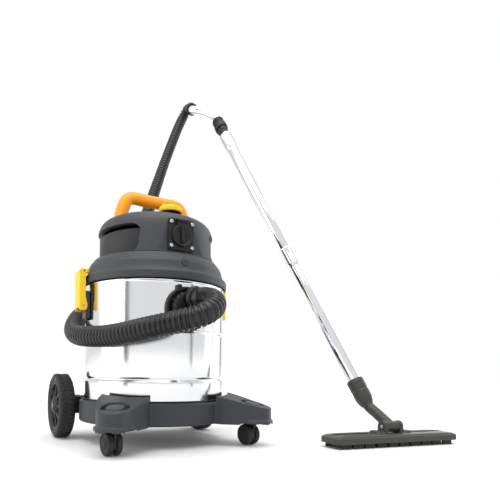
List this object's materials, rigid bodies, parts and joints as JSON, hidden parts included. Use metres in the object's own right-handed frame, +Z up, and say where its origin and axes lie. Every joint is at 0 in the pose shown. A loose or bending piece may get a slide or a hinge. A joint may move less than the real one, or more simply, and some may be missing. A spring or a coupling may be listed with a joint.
{
  "type": "shop vacuum",
  "caption": "Wet and dry vacuum with steel drum on a wheeled base, clamped power head, wrapped ribbed hose, chrome wand and floor nozzle.",
  "frame": {"origin": "floor, at the bottom centre of the box around the machine, wand and nozzle without the hose", "axes": "+Z up, -Y the front with the inlet and socket, +X towards the wand side"},
  "size_m": [0.7494, 0.67, 0.9384],
  "materials": {
    "grey": "moulded ABS, fine texture",
    "dark": "moulded polypropylene",
    "black": "moulded nylon, satin",
    "amber": "moulded ABS, satin",
    "yellow": "moulded ABS, satin",
    "steel": "bright stainless sheet",
    "chrome": "chrome plated steel tube",
    "zinc": "zinc plated steel",
    "eva": "blown EVA hose, satin",
    "rubber": "matt",
    "hair": "nylon bristle",
    "nozzle": "moulded polypropylene, satin",
    "paper": "pleated filter paper",
    "motor": "die cast"
  },
  "bodies": {
    "machine": {"base_ring": "grey", "foot_left": "grey", "foot_right": "grey", "bracket_left": "dark", "bracket_right": "dark", "drum": "steel", "inlet_flange": "black", "inlet_elbow": "black", "latch_bracket_left": "grey", "latch_bracket_right": "grey", "latch_pin_left": "zinc", "latch_pin_right": "zinc", "hose": "eva", "hose_cuff": "black", "bent_tube": "chrome", "wand_connector": "black", "tube_upper": "chrome", "tube_lower": "chrome", "nozzle_neck": "nozzle"},
    "wheel_left": {"tyre_left": "rubber", "hub_left": "dark"},
    "wheel_right": {"tyre_right": "rubber", "hub_right": "dark"},
    "caster_left": {"caster_fork_left": "black"},
    "caster_right": {"caster_fork_right": "black"},
    "roller_left_a": {"caster_wheel_left_a": "rubber"},
    "roller_left_b": {"caster_wheel_left_b": "rubber"},
    "roller_right_a": {"caster_wheel_right_a": "rubber"},
    "roller_right_b": {"caster_wheel_right_b": "rubber"},
    "head": {"head_base": "grey", "head_cover": "grey", "head_gasket": "rubber", "vent_panel_left": "dark", "vent_panel_right": "dark", "handle": "amber", "knob_collar": "black", "socket_plate": "black", "socket_screw_1": "zinc", "socket_screw_2": "zinc", "socket_screw_3": "zinc", "socket_screw_4": "zinc", "knock_out": "grey", "cord_gland": "black", "motor": "motor", "float_cage": "dark", "filter": "paper"},
    "latch_left": {"latch_left": "yellow"},
    "latch_right": {"latch_right": "yellow"},
    "impeller": {"impeller": "motor"},
    "float_ball": {"float_ball": "hair"},
    "knob": {"switch_knob": "yellow"},
    "flap": {"socket_flap": "black"},
    "nozzle": {"nozzle_body": "nozzle", "brush_front": "hair", "brush_rear": "hair", "neck_pin": "zinc"},
    "air_slide": {"air_slide": "black"},
    "button_upper": {"button_upper": "zinc"},
    "button_lower": {"button_lower": "zinc"}
  },
  "joints": [
    {"name": "wheel_spin_left", "type": "hinge", "parent": "machine", "child": "wheel_left", "pos_m": [-0.3547, 0.1349, 0.069], "axis": [1, 0, 0], "continuous": true},
    {"name": "caster_swivel_left", "type": "hinge", "parent": "machine", "child": "caster_left", "pos_m": [-0.3247, -0.1411, 0.045], "axis": [0, 0, 1], "continuous": true},
    {"name": "caster_roll_left_a", "type": "hinge", "parent": "caster_left", "child": "roller_left_a", "pos_m": [-0.32604, -0.12716, 0.021], "axis": [0.9954, 0.0959, 0], "continuous": true},
    {"name": "caster_roll_left_b", "type": "hinge", "parent": "caster_left", "child": "roller_left_b", "pos_m": [-0.32604, -0.12716, 0.021], "axis": [0.9954, 0.0959, 0], "continuous": true},
    {"name": "wheel_spin_right", "type": "hinge", "parent": "machine", "child": "wheel_right", "pos_m": [-0.0087, 0.1349, 0.069], "axis": [1, 0, 0], "continuous": true},
    {"name": "caster_swivel_right", "type": "hinge", "parent": "machine", "child": "caster_right", "pos_m": [-0.0387, -0.1411, 0.045], "axis": [0, 0, 1], "continuous": true},
    {"name": "caster_roll_right_a", "type": "hinge", "parent": "caster_right", "child": "roller_right_a", "pos_m": [-0.04004, -0.12716, 0.021], "axis": [0.9954, 0.0959, 0], "continuous": true},
    {"name": "caster_roll_right_b", "type": "hinge", "parent": "caster_right", "child": "roller_right_b", "pos_m": [-0.04004, -0.12716, 0.021], "axis": [0.9954, 0.0959, 0], "continuous": true},
    {"name": "head_lift", "type": "slide", "parent": "machine", "child": "head", "axis": [0, 0, 1], "range_m": [0, 0.12]},
    {"name": "latch_turn_left", "type": "hinge", "parent": "machine", "child": "latch_left", "pos_m": [-0.3407, 0.0239, 0.272], "axis": [0, -1, 0], "range_deg": [0, 91]},
    {"name": "latch_turn_right", "type": "hinge", "parent": "machine", "child": "latch_right", "pos_m": [-0.0227, 0.0239, 0.272], "axis": [0, 1, 0], "range_deg": [0, 91]},
    {"name": "impeller_spin", "type": "hinge", "parent": "head", "child": "impeller", "pos_m": [-0.1817, 0.0239, 0.34], "axis": [0, 0, 1], "continuous": true},
    {"name": "float_rise", "type": "slide", "parent": "head", "child": "float_ball", "axis": [0, 0, 1], "range_m": [0, 0.023]},
    {"name": "knob_turn", "type": "hinge", "parent": "head", "child": "knob", "pos_m": [-0.1817, -0.0481, 0.47], "axis": [0, 0, 1], "range_deg": [0, 90]},
    {"name": "flap_open", "type": "hinge", "parent": "head", "child": "flap", "pos_m": [-0.1817, -0.1043, 0.438], "axis": [-1, 0, 0], "range_deg": [0, 105], "stiffness_Nm_per_rad": 0.02, "springref_deg": -22.92},
    {"name": "nozzle_tilt", "type": "hinge", "parent": "machine", "child": "nozzle", "pos_m": [0.2233, -0.2561, 0.038], "axis": [0.9848, -0.1736, 0], "range_deg": [-20, 20]},
    {"name": "air_slide_turn", "type": "hinge", "parent": "machine", "child": "air_slide", "pos_m": [0.08951, 0.20568, 0.82616], "axis": [-0.1526, 0.4699, 0.8694], "range_deg": [-60, 60]},
    {"name": "button_press_upper", "type": "slide", "parent": "machine", "child": "button_upper", "axis": [-0.8555, 0.3777, -0.3543], "range_m": [0, 0.0025], "stiffness_N_per_m": 400, "springref_m": -0.002},
    {"name": "button_press_lower", "type": "slide", "parent": "machine", "child": "button_lower", "axis": [-0.8555, 0.3777, -0.3543], "range_m": [0, 0.0025], "stiffness_N_per_m": 400, "springref_m": -0.002}
  ],
  "couplings": [
    {"joint": "latch_turn_left", "follows": "head_lift", "rad_per_m": 13.09},
    {"joint": "latch_turn_right", "follows": "head_lift", "rad_per_m": 13.09}
  ]
}
